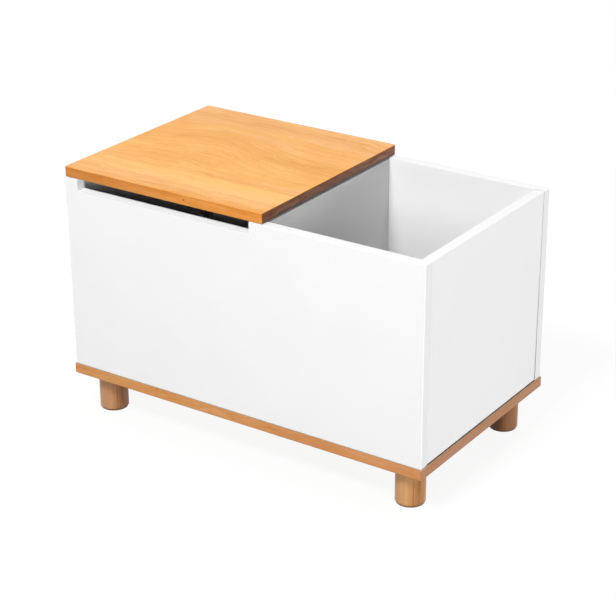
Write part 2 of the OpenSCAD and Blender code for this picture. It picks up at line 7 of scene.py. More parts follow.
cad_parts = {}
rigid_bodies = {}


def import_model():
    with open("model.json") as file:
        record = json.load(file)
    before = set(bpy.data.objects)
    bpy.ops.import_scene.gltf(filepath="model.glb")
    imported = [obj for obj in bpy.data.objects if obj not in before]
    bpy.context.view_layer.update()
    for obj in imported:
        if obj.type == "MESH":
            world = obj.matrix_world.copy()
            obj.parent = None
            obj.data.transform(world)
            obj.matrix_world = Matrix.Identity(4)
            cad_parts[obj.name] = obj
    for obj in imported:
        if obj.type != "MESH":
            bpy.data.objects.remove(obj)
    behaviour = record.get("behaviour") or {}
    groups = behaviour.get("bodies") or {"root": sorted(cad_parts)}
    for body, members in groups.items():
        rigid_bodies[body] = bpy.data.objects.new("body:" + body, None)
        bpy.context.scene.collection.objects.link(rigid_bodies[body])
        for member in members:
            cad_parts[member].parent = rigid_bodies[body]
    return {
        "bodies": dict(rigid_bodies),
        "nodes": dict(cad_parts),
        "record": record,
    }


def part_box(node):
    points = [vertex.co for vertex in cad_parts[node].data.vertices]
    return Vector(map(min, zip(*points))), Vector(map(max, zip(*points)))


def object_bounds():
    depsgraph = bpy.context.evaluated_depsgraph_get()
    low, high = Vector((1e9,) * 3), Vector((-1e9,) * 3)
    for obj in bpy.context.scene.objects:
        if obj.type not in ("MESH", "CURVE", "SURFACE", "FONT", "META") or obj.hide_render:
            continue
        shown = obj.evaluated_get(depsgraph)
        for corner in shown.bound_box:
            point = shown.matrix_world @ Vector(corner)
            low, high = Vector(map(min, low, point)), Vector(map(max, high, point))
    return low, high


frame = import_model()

# ---- Camera: place in metres, angles in radians, lens and sensor in millimetres ----
CAMERA_PLACE = Vector((1.5953, -2.3487, 1.4662))
CAMERA_YAW = 0.5954
CAMERA_PITCH = -0.4183
CAMERA_ROLL = -0.0040
CAMERA_LENS = 106.87
CAMERA_SENSOR = 36.0

# ---- Light: radiant power in watts, places and sizes in metres ----
LAMPS = {
    "key": {"place": (0.0, -4.2, 5.4), "size": (1.44, 1.44), "power": 352.0},
    "front": {"place": (0.65, -3.6, 1.55), "size": (1.4, 0.9), "power": 45.5},
    "back": {"place": (0.3, 2.2, 2.4), "size": (1.6, 1.6), "power": 6.0},
    "right": {"place": (2.4, 0.4, 0.75), "size": (1.4, 0.90), "power": 9.0},
    "low_right": {"place": (3.4, -0.6, 0.35), "size": (1.4, 0.50), "power": 54.5},
    "low_left": {"place": (-2.6, 0.4, 0.50), "size": (1.4, 0.30), "power": 30.0},
    "low_back": {"place": (0.0, 2.6, 0.70), "size": (2.0, 0.40), "power": 46.0},
}
# The only lamp that shows in the object's gloss
GLOSS_LAMP = "back"
# Strength of the world as light, and as a background
AMBIENT = 0.12
BACKGROUND = 1.0
WHITE = (1.0, 1.0, 1.0, 1.0)

# ---- Floor ----
FLOOR_SIZE = 16.0
FLOOR_ROUGHNESS = 0.9
# How much light it throws back at the object
FLOOR_BOUNCE = 0.22
# How pale it looks, and the share of that in its darker patches, of this many in a metre
FLOOR_WHITE = 0.95
FLOOR_MOTTLE = 0.99
FLOOR_PATCHES = 1.3
# Share of it that is plain white in the middle, and the distances from there where that is still so and
# where it is all of it
FLOOR_GLOW = 0.90
FLOOR_CLEAR = (0.7, 1.5)

# ---- Noise: its mean, the range of it that a look is spread over, and a narrower one for more contrast ----
NOISE_MEAN = 0.5
NOISE_SPAN = (0.3, 0.7)
NOISE_NARROW = (0.35, 0.65)


def srgb(*channels):
    """Linear colour, with alpha, from 0-255 display values."""
    lit = [c / 255 for c in channels]
    return tuple(c / 12.92 if c <= 0.04045 else ((c + 0.055) / 1.055) ** 2.4 for c in lit) + (1.0,)


def shade(colour, factor, warmth):
    """A display colour made lighter or darker, its blue moved further than its red."""
    red, green, blue = colour
    green += factor * (1 + warmth)
    blue += factor * (1 + 2 * warmth)
    return srgb(min(255, red + factor), min(255, green), blue)


class Graph:
    """One material's node tree, built with short calls that return sockets. The finishes call it g."""

    def __init__(self, name):
        self.material = bpy.data.materials.new(name)
        self.material.use_nodes = True
        self.tree = self.material.node_tree
        self.shader = self.tree.nodes["Principled BSDF"]
        self.coords = self.tree.nodes.new("ShaderNodeTexCoord")
        self.place = self.coords.outputs["Object"]
        self.normal = self.coords.outputs["Normal"]

    def put(self, socket, value):
        if isinstance(value, bpy.types.NodeSocket):
            self.tree.links.new(value, socket)
        else:
            socket.default_value = value

    def node(self, kind, settings=None, **inputs):
        made = self.tree.nodes.new(kind)
        for key, value in (settings or {}).items():
            setattr(made, key, value)
        for key, value in inputs.items():
            self.put(made.inputs[key.replace("_", " ")], value)
        return made

    def math(self, operation, *values):
        made = self.node("ShaderNodeMath", {"operation": operation})
        for socket, value in zip(made.inputs, values):
            self.put(socket, value)
        return made.outputs[0]

    def add(self, total, *others):
        for other in others:
            total = self.math("ADD", total, other)
        return total

    def times(self, product, *others):
        for other in others:
            product = self.math("MULTIPLY", product, other)
        return product

    def less(self, first, second):
        return self.math("SUBTRACT", first, second)

    def size(self, value):
        return self.math("ABSOLUTE", value)

    def over(self, value, limit):
        return self.math("GREATER_THAN", value, limit)

    def under(self, value, limit):
        return self.math("LESS_THAN", value, limit)

    def weigh(self, *parts):
        """Sum of values, each times its share."""
        return self.add(*[self.times(value, share) for value, share in parts])

    def vector(self, operation, *values):
        made = self.node("ShaderNodeVectorMath", {"operation": operation})
        for socket, value in zip(made.inputs, values):
            self.put(socket, value)
        return made.outputs["Value" if operation in ("LENGTH", "DISTANCE") else "Vector"]

    def split(self, vector):
        return self.node("ShaderNodeSeparateXYZ", Vector=vector).outputs

    def join(self, x, y, z):
        return self.node("ShaderNodeCombineXYZ", X=x, Y=y, Z=z).outputs[0]

    def fade(self, value, start, end, low=0.0, high=1.0):
        """Smooth step from low at start to high at end."""
        made = self.node("ShaderNodeMapRange", {"interpolation_type": "SMOOTHSTEP"}, Value=value)
        for key, number in (("From Min", start), ("From Max", end), ("To Min", low), ("To Max", high)):
            made.inputs[key].default_value = number
        return made.outputs[0]

    def spread(self, noise, low, high):
        """Low where the noise is low, high where it is high, and smooth in between."""
        return self.fade(noise, *NOISE_SPAN, low, high)

    def noise(self, per_metre, detail=3.0, roughness=0.5, distortion=0.0, at=None):
        """Noise from 0 to 1 with this many features per metre, along each axis or all three alike."""
        if not isinstance(per_metre, tuple):
            per_metre = (per_metre,) * 3
        where = self.vector("MULTIPLY", at or self.place, per_metre)
        made = self.node("ShaderNodeTexNoise", Vector=where, Scale=1.0, Detail=detail,
                         Roughness=roughness, Distortion=distortion)
        return made.outputs[0]

    def blend(self, share, first, second, kind="MIX"):
        made = self.node("ShaderNodeMix", {"data_type": "RGBA", "blend_type": kind})
        factor, first_colour, second_colour = made.inputs[0], made.inputs[6], made.inputs[7]
        for socket, value in ((factor, share), (first_colour, first), (second_colour, second)):
            self.put(socket, value)
        return made.outputs[2]

    def ramp(self, value, *stops):
        made = self.node("ShaderNodeValToRGB", Fac=value)
        points = made.color_ramp.elements
        while len(points) < len(stops):
            points.new(1.0)
        for point, (at, colour) in zip(points, stops):
            point.position = at
            point.color = colour
        return made.outputs[0]

    def two_tone(self, noise, first, second, span=NOISE_SPAN):
        """The first colour where the noise is low, and the second where it is high."""
        return self.ramp(noise, (span[0], first), (span[1], second))

    def bump(self, height, distance):
        """Relief whose height of 0 to 1 stands for this many metres."""
        made = self.node("ShaderNodeBump", Height=height)
        made.inputs["Strength"].default_value = 1.0
        made.inputs["Distance"].default_value = distance
        return made.outputs[0]

    def surface(self, **inputs):
        for key, value in inputs.items():
            self.put(self.shader.inputs[key.replace("_", " ")], value)
        return self.material


# ---- Both board finishes ----
# How far outside a box a surface may lie and still be in it
SKIN = 0.001
# How much of an axis is in the normal of a face that looks along it: strictly, and counting slanted rims
SQUARE_ON = 0.8
SLANTED_ON = 0.6
# The line of the edge band, in from each edge: where it lies, and half its width
BAND_LINE = 0.0012
BAND_LINE_HALF = 0.00014
BOARD_BUMP = 0.00003
BOARD_IOR = 1.5
# How deep the line and the pores lie in the relief
LINE_DEPTH = -0.8
PORE_DEPTH = -0.8


def edge_distance(g, low, high):
    """Distance in metres from a point on a box to the nearest of its edges."""
    near = []
    for axis, lo, hi in zip(g.split(g.place), low, high):
        near.append(g.math("MINIMUM", g.less(axis, lo), g.less(hi, axis)))
    least = g.math("MINIMUM", near[0], near[1])
    most = g.math("MAXIMUM", near[0], near[1])
    return g.math("MAXIMUM", least, g.math("MINIMUM", most, near[2]))


def stripe(g, value, middle, half):
    """1 where value is within half of middle, fading to 0 over as much again."""
    return g.fade(g.size(g.less(value, middle)), half, 2 * half, 1.0, 0.0)


def banding(g, value, bands):
    """Sum of the stripes across value, each with its middle, half its width and its strength."""
    return g.weigh(*[(stripe(g, value, middle, half), strength) for middle, half, strength in bands])


def between(g, low, high):
    """1 on the surfaces in or on the box between two corners."""
    tests = []
    for axis, lo, hi in zip(g.split(g.place), low, high):
        tests += [g.over(axis, lo - SKIN), g.under(axis, hi + SKIN)]
    return g.times(*tests)


def hollow(left, right):
    """Corners of the space between two upright boards and the front and back walls."""
    low = Vector((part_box(left)[1].x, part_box("front_panel")[1].y, 0.0))
    high = Vector((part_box(right)[0].x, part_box("back_panel")[0].y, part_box(right)[1].z))
    return low, high


# ---- White melamine board ----
WHITE_LIGHT = srgb(238, 238, 238)
WHITE_DULL = srgb(236, 236, 236)
# Painted light and shade by where a face looks and lies: edge bands and other faces that look up painted
# whiter, board ends painted a little darker, the slot's sill painted whiter still, and painted shade on what
# the lid covers
WHITE_TOP_LIGHT = srgb(252, 252, 252)
WHITE_END_SHADE = srgb(233, 233, 233)
WHITE_SILL_LIGHT = srgb(253, 253, 253)
WHITE_SHUT_SHADE = srgb(222, 222, 222)
BAND_SHADE = srgb(206, 206, 206)
JOINT_SHADE = srgb(70, 70, 72)
# Colour of the painted shadow line under the lid
LID_SHADOW_DARK = srgb(52, 42, 38)
CORE_TAN = srgb(206, 190, 165)
# How far in from an edge its wear reaches: all of it up to the first distance, and none past the second
WHITE_RIM = (0.0002, 0.0011)
# Noise above which an edge is chipped, and the shares of the chips and of the edge band's line
CHIPPED = (0.60, 0.72)
CHIP_SHARE = 0.5
WHITE_LINE_SHARE = 0.2
# Roughness of the faces, and what their specks and worn edges add
WHITE_ROUGH = (0.41, 0.44)
SPECK_ROUGH = 0.06
WHITE_RIM_ROUGH = 0.10
PEARL_HEIGHT, GRIT_HEIGHT = 0.75, 0.25
SLOT_OPENING = "finger_slot"
SIDE_WALLS = ("left_panel", "right_panel")
WHITE_TEXTURE = {
    "cloud": {"per_metre": 13, "detail": 4},
    "pearl": {"per_metre": 1100, "detail": 2, "roughness": 0.6},
    "grit": {"per_metre": 4200, "detail": 1},
    "chips": {"per_metre": 90, "detail": 5, "roughness": 0.7},
}
# Painted shade on the divider: darker from front to back, and again over the last stretch under the lid
DIVIDER_BACK_SHADE = (1.0, 0.85)
UNDER_LID_SHADE = 0.80
UNDER_LID_SHADE_REACH = 0.020
# The painted shadow line where the lid meets it: how far under the top it starts and is full, and its share
LID_SHADOW_LINE = (0.0028, 0.0004, 0.88)
# The open joint at the back of a side wall: how far from the back it is full and gone, how many times as
# wide it is at the bottom and at the top, and the least and the most that its dust lets it show
REAR_JOINT = (0.0009, 0.0018)
REAR_WIDENING = (2.6, 1.3)
REAR_SHARE = (0.65, 0.95)


def divider_painted_shade(g, node, colour):
    """Paints shade on the divider, darker towards the back and the lid, and draws a soft painted shadow line
    under the lid.
    """
    _, y, z = g.split(g.place)
    low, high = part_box(node)
    dull = g.times(g.fade(y, low.y, high.y, *DIVIDER_BACK_SHADE),
                   g.fade(z, high.z - UNDER_LID_SHADE_REACH, high.z, 1.0, UNDER_LID_SHADE))
    colour = g.blend(1.0, colour, g.join(dull, dull, dull), "MULTIPLY")
    start, end, share = LID_SHADOW_LINE
    return g.blend(g.fade(z, high.z - start, high.z - end, 0.0, share), colour, LID_SHADOW_DARK)


def rear_joint(g, node, cloud, colour):
    """Draws the dusty open joint between a side wall and the back wall."""
    _, y, z = g.split(g.place)
    low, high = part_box(node)
    to_back = g.math("DIVIDE", g.less(high.y, y), g.fade(z, low.z, high.z, *REAR_WIDENING))
    share = g.times(g.fade(to_back, *REAR_JOINT, 1.0, 0.0), g.spread(cloud, *REAR_SHARE))
    return g.blend(share, colour, JOINT_SHADE)


def white_board(node):
    """Melamine board: pearl-textured white faces with a banded edge, a little wear on its corners, and
    painted light and shade by where a face looks and lies.
    """
    g = Graph("white_board." + node)
    edge = edge_distance(g, *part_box(node))
    cloud = g.noise(**WHITE_TEXTURE["cloud"])
    pearl = g.noise(**WHITE_TEXTURE["pearl"])
    grit = g.noise(**WHITE_TEXTURE["grit"])
    chips = g.fade(g.noise(**WHITE_TEXTURE["chips"]), *CHIPPED)
    rim = g.fade(edge, *WHITE_RIM, 1.0, 0.0)
    line = stripe(g, edge, BAND_LINE, BAND_LINE_HALF)
    colour = g.two_tone(cloud, WHITE_DULL, WHITE_LIGHT)
    # Painted shade on the divider
    if node == "divider_panel":
        colour = divider_painted_shade(g, node, colour)
    facing = g.split(g.normal)
    upward = g.over(facing[2], SQUARE_ON)
    # Faces that look up painted whiter as painted light
    colour = g.blend(upward, colour, WHITE_TOP_LIGHT)
    if node in ("front_panel", "back_panel"):
        # The panels' end faces painted a little darker as painted shade
        colour = g.blend(g.over(g.size(facing[0]), SQUARE_ON), colour, WHITE_END_SHADE)
    # Painted shade on the faces inside the closed compartment
    colour = g.blend(between(g, *hollow("left_panel", "divider_panel")), colour, WHITE_SHUT_SHADE)
    for opening in frame["record"]["physics"]["openings"]:
        if opening["name"] == SLOT_OPENING:
            # The slot's sill painted whiter as painted light
            colour = g.blend(g.times(upward, between(g, *opening["box_m"])), colour, WHITE_SILL_LIGHT)
    colour = g.blend(g.times(line, WHITE_LINE_SHARE), colour, BAND_SHADE)
    colour = g.blend(g.times(rim, chips, CHIP_SHARE), colour, CORE_TAN)
    if node in SIDE_WALLS:
        colour = rear_joint(g, node, cloud, colour)
    speck = g.fade(pearl, *NOISE_NARROW)
    rough = g.add(g.spread(cloud, *WHITE_ROUGH), g.weigh((speck, SPECK_ROUGH), (rim, WHITE_RIM_ROUGH)))
    height = g.weigh((pearl, PEARL_HEIGHT), (grit, GRIT_HEIGHT), (line, LINE_DEPTH))
    return g.surface(Base_Color=colour, Roughness=rough, Normal=g.bump(height, BOARD_BUMP), IOR=BOARD_IOR)


# ---- Board in wood-grain foil ----
# Foil colours of each board: on its broad faces, its long banded edges and its end edges
BOARD_TONES = {
    "lid_panel": ((249, 181, 104), (197, 126, 52), (110, 75, 62)),
    "base_panel": ((226, 158, 88), (200, 136, 86), (169, 116, 80)),
}
# How far the tone swings on each of those faces
TONE_SWING = {"lid_panel": (1.0, 0.8, 2.4), "base_panel": (1.0, 1.0, 0.7)}
# The swing itself: steps to the paler and the darker end, and how much more they move green and blue
PALER_STEP, PALER_WARMTH = 8, 1.0
DARKER_STEP, DARKER_WARMTH = -15, 0.45
# Tone at which the foil is palest, is its own colour and is darkest, and what each texture gives to it
PALEST, PLAIN, DARKEST = 0.40, 0.50, 0.62
STREAK_TONE, BROAD_TONE, FIBRE_TONE, PATCH_TONE = 0.42, 0.13, 0.29, 0.16
# Features per metre along the grain and across it
GRAIN_TEXTURE = {
    "sway": {"per_metre": (6, 13, 0), "detail": 5, "roughness": 0.62},
    "streak": {"per_metre": (10, 170, 0), "detail": 6, "roughness": 0.74},
    "fibre": {"per_metre": (30, 380, 0), "detail": 5, "roughness": 0.7},
    "broad": {"per_metre": (2.6, 12, 0), "detail": 4, "roughness": 0.6},
    "patch": {"per_metre": (7, 20, 0), "detail": 3},
    "honey": {"per_metre": (3, 22, 0), "detail": 3},
    "pores": {"per_metre": (75, 2300, 0), "detail": 2},
}
# How far the streaks sway, in metres, and how far off in the noise the amber patches are taken
SWAY_WIDTH = 0.05
HONEY_AWAY = (7.0, 3.0, 0.0)
# Noise over which amber sets in, noise above which there is a pore, and the shares of pores and band line
HONEY_SPAN = (0.38, 0.62)
FOIL_PORES = (0.64, 0.72)
FOIL_PORE_SHARE = 0.22
FOIL_LINE_SHARE = 0.45
# How far in from an edge its wear reaches, the roughness of the faces, and what that wear adds to it
FOIL_RIM = (0.0003, 0.0013)
FOIL_ROUGH = (0.42, 0.50)
FOIL_RIM_ROUGH = 0.08
FIBRE_HEIGHT = 0.6
# Multiplied into the foil where it is more amber
AMBER = (1.0, 0.978, 0.68, 1.0)
# Multiplied into the lid's end edges: painted light towards the back, over this last stretch, and a warmer
# tint towards the top
END_BACK_LIGHT = (1.5, 1.5, 1.5, 1.0)
END_BACK_LIGHT_REACH = 0.16
END_WARM = (1.32, 0.93, 0.30, 1.0)
# Multiplied into the lid's long edges towards the right
SIDE_PALE = (1.27, 1.32, 1.7, 1.0)
PORE_DARK = srgb(176, 108, 52)
# Dark of the edge-band seams, and of the painted shade high on the base board's ends
SEAM_AND_SHADE_DARK = srgb(110, 66, 36)
KNOT_DARK = srgb(92, 48, 22)
# Colour of the painted shadow low on the lid's end edges
LID_EDGE_SHADOW_DARK = srgb(40, 30, 26)
# Painted shade on the base board's top, in the narrow reveal round the walls
REVEAL_SHADE = srgb(150, 137, 127)
FLOOR_GREY = srgb(222, 222, 222)
# Painted shadow low on the lid's end edges: the heights above its underside where it is full and gone, and
# its share
LID_EDGE_SHADOW = (0.0006, 0.0042, 0.85)
# Painted shade high on the base board's end edges, under the walls: the depths under its top where it starts
# and is full, and its share
BASE_END_SHADE = (0.007, 0.001, 0.22)
# Share of the dark along all the base board's edges
BASE_RIM_SHARE = 0.5
# The knot in the lid's front edge: its share of the way along, its radius, how much of that is its dark
# heart, and its share
KNOT_ALONG = 0.62
KNOT_RADIUS = 0.0022
KNOT_HEART = 0.4
KNOT_SHARE = 0.85
# The heart that the streaks arch over: its shares of the way along and across, its reach and its height
HEART_PLACE = (0.38, 0.58)
HEART_SPREAD = (0.19, 0.16)
HEART_PEAK = 0.058
# Wide bands in the lid's figure: distance from the heart's line, half the width, and how much darker
LID_BANDS = (
    (-0.165, 0.013, -0.11),
    (-0.224, 0.008, 0.08),
    (-0.010, 0.022, 0.045),
    (0.122, 0.010, 0.03),
)
# How much the bands show at the lid's left and right
BANDS_SHOW = (0.9, 2.4)
# Bands that are more amber, or less: distance from the heart's line, half the width, and how much
LID_HONEY = ((-0.030, 0.042, 0.22), (0.145, 0.035, -0.40))


def foil_flow(g, low, high):
    """Distance across the streaks, which arch to the back over the heart and run straight away from it."""
    x, y, z = g.split(g.place)
    heart_x = low.x + HEART_PLACE[0] * (high.x - low.x)
    heart_y = low.y + HEART_PLACE[1] * (high.y - low.y)
    off = g.less(y, heart_y)
    beside = g.fade(g.size(g.less(x, heart_x)), 0.0, HEART_SPREAD[0], 1.0, 0.0)
    above = g.fade(g.size(off), 0.0, HEART_SPREAD[1], 1.0, 0.0)
    return g.add(g.less(off, g.times(beside, above, HEART_PEAK)), z)


def foil_colour(g, node, tone, side, end):
    """The foil's colour at each tone, on the broad faces, the long edges and the end edges."""
    colours = []
    for middle, swing in zip(BOARD_TONES[node], TONE_SWING[node]):
        paler = shade(middle, PALER_STEP * swing, PALER_WARMTH)
        darker = shade(middle, DARKER_STEP * swing, DARKER_WARMTH)
        colours.append(g.ramp(tone, (PALEST, paler), (PLAIN, srgb(*middle)), (DARKEST, darker)))
    return g.blend(end, g.blend(side, colours[0], colours[1]), colours[2])


def base_marks(g, top, end, rim, colour):
    """Darker edges, painted shade high on the ends, the top painted grey-brown as shade where the walls stand
    and round them, and a grey floor inside them.
    """
    z = g.split(g.place)[2]
    # Painted shade high on the end edges
    start, stop, share = BASE_END_SHADE
    shaded_top = g.times(end, g.fade(z, top - start, top - stop, 0.0, share))
    colour = g.blend(g.math("MAXIMUM", g.times(rim, BASE_RIM_SHARE), shaded_top), colour, SEAM_AND_SHADE_DARK)
    upward = g.over(g.split(g.normal)[2], SQUARE_ON)
    # The top painted grey-brown as shade
    colour = g.blend(upward, colour, REVEAL_SHADE)
    inside = between(g, *hollow("left_panel", "right_panel"))
    return g.blend(g.times(upward, inside), colour, FLOOR_GREY)


def lid_marks(g, low, high, side, end, colour):
    """The lid's edges with painted light and shade, a painted shadow low on its ends, its underside painted a
    shaded white, and one small knot.
    """
    x, y, z = g.split(g.place)
    at_back = g.times(end, g.fade(y, high.y - END_BACK_LIGHT_REACH, high.y, 0.0, 1.0))
    colour = g.blend(at_back, colour, END_BACK_LIGHT, "MULTIPLY")
    at_top = g.times(end, g.fade(z, low.z, high.z, 0.0, 1.0))
    colour = g.blend(at_top, colour, END_WARM, "MULTIPLY")
    at_right = g.times(side, g.fade(x, low.x, high.x, 0.0, 1.0))
    colour = g.blend(at_right, colour, SIDE_PALE, "MULTIPLY")
    # Painted shadow low on the end edges, where the lid sits on the walls
    start, stop, share = LID_EDGE_SHADOW
    edge_shadow = g.times(end, g.fade(z, low.z + start, low.z + stop, share, 0.0))
    colour = g.blend(edge_shadow, colour, LID_EDGE_SHADOW_DARK)
    # The underside painted in the same shade as the closed compartment
    colour = g.blend(g.under(g.split(g.normal)[2], -SQUARE_ON), colour, WHITE_SHUT_SHADE)
    knot = Vector((low.x + KNOT_ALONG * (high.x - low.x), low.y, (low.z + high.z) / 2))
    spot = g.fade(g.vector("DISTANCE", g.place, knot), KNOT_HEART * KNOT_RADIUS, KNOT_RADIUS, 1.0, 0.0)
    return g.blend(g.times(spot, KNOT_SHARE), colour, KNOT_DARK)


def woodgrain_board(node):
    """Board in wood-grain foil: long streaks along X that part round a heart, straight grain on the edges."""
    low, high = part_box(node)
    g = Graph("woodgrain_board." + node)
    x, y, z = g.split(g.place)
    facing = g.split(g.normal)
    edgewise = g.under(facing[2], SLANTED_ON)
    side = g.times(edgewise, g.over(g.size(facing[1]), SLANTED_ON))
    end = g.times(edgewise, g.over(g.size(facing[0]), SLANTED_ON), g.less(1.0, side))

    def on_end(elsewhere, there):
        """One value on the end edges, and another on all the other faces."""
        return g.add(g.times(end, there), g.times(g.less(1.0, end), elsewhere))

    still = g.join(on_end(x, y), on_end(g.add(y, z), z), 0.0)
    sway = g.less(g.noise(**GRAIN_TEXTURE["sway"], at=still), NOISE_MEAN)
    across = g.add(on_end(foil_flow(g, low, high), z), g.times(sway, SWAY_WIDTH))
    grain = g.join(on_end(x, y), across, 0.0)
    streak = g.noise(**GRAIN_TEXTURE["streak"], at=grain)
    fibre = g.noise(**GRAIN_TEXTURE["fibre"], at=grain)
    broad = g.noise(**GRAIN_TEXTURE["broad"], at=grain)
    patch = g.noise(**GRAIN_TEXTURE["patch"], at=still)
    honey = g.noise(**GRAIN_TEXTURE["honey"], at=g.vector("ADD", grain, HONEY_AWAY))
    pores = g.fade(g.noise(**GRAIN_TEXTURE["pores"], at=grain), *FOIL_PORES)
    tone = g.weigh((streak, STREAK_TONE), (broad, BROAD_TONE), (fibre, FIBRE_TONE), (patch, PATCH_TONE))
    if node == "lid_panel":
        depth = g.less(across, high.z)
        shown = g.times(patch, g.fade(x, low.x, high.x, *BANDS_SHOW))
        tone = g.add(tone, g.times(shown, banding(g, depth, LID_BANDS)))
        honey = g.add(honey, banding(g, depth, LID_HONEY))
    colour = foil_colour(g, node, tone, side, end)
    colour = g.blend(g.fade(honey, *HONEY_SPAN), colour, AMBER, "MULTIPLY")
    colour = g.blend(g.times(pores, FOIL_PORE_SHARE), colour, PORE_DARK)
    edge = edge_distance(g, low, high)
    rim = g.fade(edge, *FOIL_RIM, 1.0, 0.0)
    line = stripe(g, edge, BAND_LINE, BAND_LINE_HALF)
    colour = g.blend(g.times(line, FOIL_LINE_SHARE), colour, SEAM_AND_SHADE_DARK)
    if node == "base_panel":
        colour = base_marks(g, high.z, end, rim, colour)
    if node == "lid_panel":
        colour = lid_marks(g, low, high, side, end, colour)
    rough = g.add(g.spread(streak, *FOIL_ROUGH), g.times(rim, FOIL_RIM_ROUGH))
    height = g.weigh((fibre, FIBRE_HEIGHT), (pores, PORE_DEPTH), (line, LINE_DEPTH))
    return g.surface(Base_Color=colour, Roughness=rough, Normal=g.bump(height, BOARD_BUMP), IOR=BOARD_IOR)


# ---- Solid wood ----
# Each leg: which way its grain and its side painted darker as shade lie, how dark that painted shade is, and
# its middle tone, partly its own timber and partly painted shade
LEG_TONE_AND_SHADE = {
    "leg_front_right": (0.60, 0.20, (184, 133, 83)),
    "leg_front_left": (0.75, 0.24, (165, 115, 75)),
    "leg_back_right": (3.60, 0.34, (126, 80, 41)),
    "leg_back_left": (0.10, 0.13, (186, 134, 88)),
}
# Steps from a leg's middle tone to its lightest and its darkest, where in the figure each of the three is
# reached, and what each texture gives to that figure
LEG_LIGHTER, LEG_DARKER = 20, -52
LEG_STOPS = (0.34, 0.52, 0.84)
LEG_STREAK_TONE, LEG_BROAD_TONE = 0.45, 0.35
LEG_PORE = srgb(104, 60, 30)
# Noise above which there is a pore
LEG_PORES = (0.62, 0.70)
LEG_PORE_SHARE = 0.30
# The range of the figure over which the roughness goes from the first value to the second
LEG_ROUGH_SPAN = (0.3, 0.9)
LEG_ROUGH = (0.38, 0.52)
LEG_STREAK_HEIGHT = 0.5
LEG_BUMP = 0.00005
LEG_IOR = 1.5
# Half the width over which the painted shade on the leg's dark side sets in, how far the layers wander
# from straight, and how far the streaks drift for each metre down the leg
SHADED_SIDE_HALF = 0.014
LAYER_SWAY = 0.006
STREAK_DRIFT = 0.03
# Darker growth layers: distance from the leg's axis and half their width, and how much darker they are
LEG_LAYERS = ((-0.0036, 0.0004), (0.0030, 0.0007), (0.0120, 0.0016))
LAYER_DARK = 0.14
# They fade in places: the noise over which they do, and the least and the most that is left of them
LAYER_FADE_SPAN = (0.35, 0.6)
LAYER_LEFT = (0.25, 1.0)
LEG_TEXTURE = {
    "sway": {"per_metre": (22, 22, 9), "detail": 2},
    "streak": {"per_metre": (210, 210, 0), "detail": 4, "roughness": 0.6},
    "broad": {"per_metre": (48, 48, 6), "detail": 2},
    "fading": {"per_metre": (60, 60, 16), "detail": 2},
    "pores": {"per_metre": (1900, 1900, 55), "detail": 2},
}
# The foot is dark: the heights above its underside where that is full and gone, and its share
FOOT_DARK = (0.0005, 0.005)
END_GRAIN_SHARE = 0.45
BEECH_PALE = srgb(226, 196, 152)
BEECH_DARK = srgb(196, 158, 108)
BEECH_TEXTURE = {"per_metre": (1600, 160, 1600), "detail": 3, "roughness": 0.6}
BEECH_ROUGH = (0.55, 0.70)
BEECH_BUMP = 0.0001


def turned_wood(node):
    """Lacquered turned leg: straight growth layers, a few of them dark, fine pores, darker end grain, and one
    side painted darker as shade.
    """
    low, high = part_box(node)
    heading, shaded_side, tint = LEG_TONE_AND_SHADE[node]
    g = Graph("turned_wood." + node)
    x, y, z = g.split(g.vector("SUBTRACT", g.place, (low + high) / 2))
    sway = g.less(g.noise(**LEG_TEXTURE["sway"]), NOISE_MEAN)
    depth = g.weigh((x, math.cos(heading)), (y, math.sin(heading)), (sway, LAYER_SWAY))
    layer = g.join(depth, g.times(z, STREAK_DRIFT), 0.0)
    streak = g.noise(**LEG_TEXTURE["streak"], at=layer)
    broad = g.noise(**LEG_TEXTURE["broad"])
    fading = g.fade(g.noise(**LEG_TEXTURE["fading"]), *LAYER_FADE_SPAN, *LAYER_LEFT)
    tone = g.weigh((streak, LEG_STREAK_TONE), (broad, LEG_BROAD_TONE))
    # Painted shade on one side of the leg
    tone = g.add(tone, g.fade(depth, -SHADED_SIDE_HALF, SHADED_SIDE_HALF, 0.0, shaded_side))
    for middle, half in LEG_LAYERS:
        tone = g.add(tone, g.times(stripe(g, depth, middle, half), fading, LAYER_DARK))
    pores = g.fade(g.noise(**LEG_TEXTURE["pores"]), *LEG_PORES)
    tones = (shade(tint, LEG_LIGHTER, 0), srgb(*tint), shade(tint, LEG_DARKER, 0))
    colour = g.ramp(tone, *zip(LEG_STOPS, tones))
    colour = g.blend(g.times(pores, LEG_PORE_SHARE), colour, LEG_PORE)
    cut_end = g.over(g.size(g.split(g.normal)[2]), SQUARE_ON)
    start, stop = FOOT_DARK
    foot = g.fade(g.split(g.place)[2], low.z + start, low.z + stop, 1.0, 0.0)
    end_grain = g.math("MAXIMUM", cut_end, foot)
    colour = g.blend(g.times(end_grain, END_GRAIN_SHARE), colour, LEG_PORE)
    height = g.less(g.times(streak, LEG_STREAK_HEIGHT), pores)
    rough = g.fade(tone, *LEG_ROUGH_SPAN, *LEG_ROUGH)
    return g.surface(Base_Color=colour, Roughness=rough, Normal=g.bump(height, LEG_BUMP), IOR=LEG_IOR)


def dowel_wood(node):
    """Beech dowel with a fine fleck along its length."""
    g = Graph("dowel_wood." + node)
    fleck = g.noise(**BEECH_TEXTURE)
    colour = g.two_tone(fleck, BEECH_PALE, BEECH_DARK, NOISE_NARROW)
    rough = g.spread(fleck, *BEECH_ROUGH)
    return g.surface(Base_Color=colour, Roughness=rough, Normal=g.bump(fleck, BEECH_BUMP))


# ---- Metal ----
METAL_CLOUD = {"per_metre": 120, "detail": 4, "roughness": 0.6}
METAL_HAIR = {"per_metre": (300, 5200, 900), "detail": 2, "distortion": 0.6}
METAL_BUMP = 0.00002
